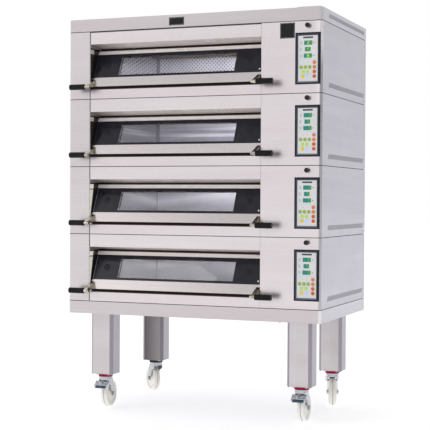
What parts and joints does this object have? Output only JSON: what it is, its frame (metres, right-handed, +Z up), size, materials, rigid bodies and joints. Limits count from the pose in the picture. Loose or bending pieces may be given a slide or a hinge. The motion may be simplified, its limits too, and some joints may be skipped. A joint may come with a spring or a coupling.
{
  "type": "deck oven",
  "caption": "Stacked electric bakery deck oven with leaning glass doors and keypad controls on a castered stand.",
  "frame": {"origin": "on the floor, in the middle of the overall width and depth", "axes": "+X to the right seen from the front, +Y to the back, +Z up"},
  "size_m": [1.4204, 0.9541, 2.124],
  "materials": {
    "steel_side": "brushed stainless steel",
    "steel_front": "brushed stainless steel",
    "steel_shell": "brushed stainless steel",
    "steel_leg": "brushed stainless steel",
    "door_steel": "brushed stainless steel",
    "door_glass": "toughened glass with a black printed border",
    "bracket_steel": "polished stainless steel",
    "grip_plastic": "black phenolic",
    "knob_plastic": "black phenolic",
    "bezel_plastic": "black moulded plastic",
    "keypad": "white printed polyester overlay",
    "board": "circuit board and power module",
    "plate_black": "black anodised plate",
    "liner_steel": "heat-toned stainless steel",
    "stone": "fired stone hearth tile",
    "element": "oxidised heating element sheath",
    "wool": "mineral wool",
    "seal_black": "black silicone",
    "pin_steel": "turned stainless steel",
    "gland_plastic": "black nylon",
    "zinc": "bright zinc plate",
    "nylon": "cream-white cast nylon",
    "brake_blue": "dark blue painted steel",
    "seal_red": "red and black moulded dust seals"
  },
  "bodies": {
    "oven": {"side_panels": "steel_side", "rear_panels": "steel_side", "deck_trays": "steel_shell", "hood": "steel_shell", "roof_vent": "steel_shell", "base_plinth": "steel_shell", "cable_gland": "gland_plastic", "nameplates": "plate_black", "hinge_pins": "pin_steel", "sill_seals": "seal_black", "baking_chambers": "liner_steel", "hearth_stones": "stone", "heating_elements": "element", "insulation": "wool", "exhaust_flue": "liner_steel", "keypad_overlays": "keypad", "control_boards": "board", "legs": "steel_leg", "caster_heads": "zinc", "swivel_seals": "seal_red", "screws": "pin_steel", "deck_front_1": "steel_front", "deck_front_2": "steel_front", "deck_front_3": "steel_front", "deck_front_4": "steel_front", "control_bezel_1": "bezel_plastic", "control_bezel_2": "bezel_plastic", "control_bezel_3": "bezel_plastic", "control_bezel_4": "bezel_plastic"},
    "door_1": {"door_frame_1": "door_steel", "door_glass_1": "door_glass", "door_brackets_1": "bracket_steel", "door_grips_1": "grip_plastic"},
    "door_2": {"door_frame_2": "door_steel", "door_glass_2": "door_glass", "door_brackets_2": "bracket_steel", "door_grips_2": "grip_plastic"},
    "door_3": {"door_frame_3": "door_steel", "door_glass_3": "door_glass", "door_brackets_3": "bracket_steel", "door_grips_3": "grip_plastic"},
    "door_4": {"door_frame_4": "door_steel", "door_glass_4": "door_glass", "door_brackets_4": "bracket_steel", "door_grips_4": "grip_plastic"},
    "damper_1": {"damper_knob_1": "knob_plastic"},
    "damper_2": {"damper_knob_2": "knob_plastic"},
    "damper_3": {"damper_knob_3": "knob_plastic"},
    "damper_4": {"damper_knob_4": "knob_plastic"},
    "fork_fl": {"caster_fork_fl": "zinc"},
    "wheel_fl": {"caster_wheel_fl": "nylon"},
    "brake_fl": {"caster_brake_fl": "brake_blue"},
    "fork_fr": {"caster_fork_fr": "zinc"},
    "wheel_fr": {"caster_wheel_fr": "nylon"},
    "brake_fr": {"caster_brake_fr": "brake_blue"},
    "fork_rl": {"caster_fork_rl": "zinc"},
    "wheel_rl": {"caster_wheel_rl": "nylon"},
    "fork_rr": {"caster_fork_rr": "zinc"},
    "wheel_rr": {"caster_wheel_rr": "nylon"},
    "brake_rr": {"caster_brake_rr": "brake_blue"}
  },
  "joints": [
    {"name": "door_1_hinge", "type": "hinge", "parent": "oven", "child": "door_1", "pos_m": [-0.097, -0.29265, 0.84513], "axis": [-1, 0, 0], "range_deg": [0, 60]},
    {"name": "door_2_hinge", "type": "hinge", "parent": "oven", "child": "door_2", "pos_m": [-0.097, -0.29265, 1.20513], "axis": [-1, 0, 0], "range_deg": [0, 60]},
    {"name": "door_3_hinge", "type": "hinge", "parent": "oven", "child": "door_3", "pos_m": [-0.097, -0.29265, 1.56513], "axis": [-1, 0, 0], "range_deg": [0, 60]},
    {"name": "door_4_hinge", "type": "hinge", "parent": "oven", "child": "door_4", "pos_m": [-0.097, -0.29265, 1.92512], "axis": [-1, 0, 0], "range_deg": [0, 60]},
    {"name": "damper_1_pull", "type": "slide", "parent": "oven", "child": "damper_1", "axis": [0, -1, 0], "range_m": [0, 0.038]},
    {"name": "damper_2_pull", "type": "slide", "parent": "oven", "child": "damper_2", "axis": [0, -1, 0], "range_m": [0, 0.038]},
    {"name": "damper_3_pull", "type": "slide", "parent": "oven", "child": "damper_3", "axis": [0, -1, 0], "range_m": [0, 0.038]},
    {"name": "damper_4_pull", "type": "slide", "parent": "oven", "child": "damper_4", "axis": [0, -1, 0], "range_m": [0, 0.038]},
    {"name": "swivel_fl", "type": "hinge", "parent": "oven", "child": "fork_fl", "pos_m": [-0.563, -0.23508, 0.16], "axis": [0, 0, 1], "continuous": true},
    {"name": "roll_fl", "type": "hinge", "parent": "fork_fl", "child": "wheel_fl", "pos_m": [-0.56614, -0.19019, 0.075], "axis": [-0.9976, -0.0698, 0], "continuous": true},
    {"name": "brake_fl_pedal", "type": "hinge", "parent": "fork_fl", "child": "brake_fl", "pos_m": [-0.56133, -0.25902, 0.148], "axis": [0.9976, 0.0698, 0], "range_deg": [0, 12]},
    {"name": "swivel_fr", "type": "hinge", "parent": "oven", "child": "fork_fr", "pos_m": [0.563, -0.23508, 0.16], "axis": [0, 0, 1], "continuous": true},
    {"name": "roll_fr", "type": "hinge", "parent": "fork_fr", "child": "wheel_fr", "pos_m": [0.56143, -0.1901, 0.075], "axis": [-0.9994, -0.0349, 0], "continuous": true},
    {"name": "brake_fr_pedal", "type": "hinge", "parent": "fork_fr", "child": "brake_fr", "pos_m": [0.56384, -0.25906, 0.148], "axis": [0.9994, 0.0349, 0], "range_deg": [0, 12]},
    {"name": "swivel_rl", "type": "hinge", "parent": "oven", "child": "fork_rl", "pos_m": [-0.545, 0.38592, 0.16], "axis": [0, 0, 1], "continuous": true},
    {"name": "roll_rl", "type": "hinge", "parent": "fork_rl", "child": "wheel_rl", "pos_m": [-0.57791, 0.41661, 0.075], "axis": [-0.682, -0.7314, 0], "continuous": true},
    {"name": "swivel_rr", "type": "hinge", "parent": "oven", "child": "fork_rr", "pos_m": [0.545, 0.38592, 0.16], "axis": [0, 0, 1], "continuous": true},
    {"name": "roll_rr", "type": "hinge", "parent": "fork_rr", "child": "wheel_rr", "pos_m": [0.55891, 0.34313, 0.075], "axis": [0.9511, 0.309, 0], "continuous": true},
    {"name": "brake_rr_pedal", "type": "hinge", "parent": "fork_rr", "child": "brake_rr", "pos_m": [0.53758, 0.40875, 0.148], "axis": [-0.9511, -0.309, 0], "range_deg": [0, 12]}
  ]
}
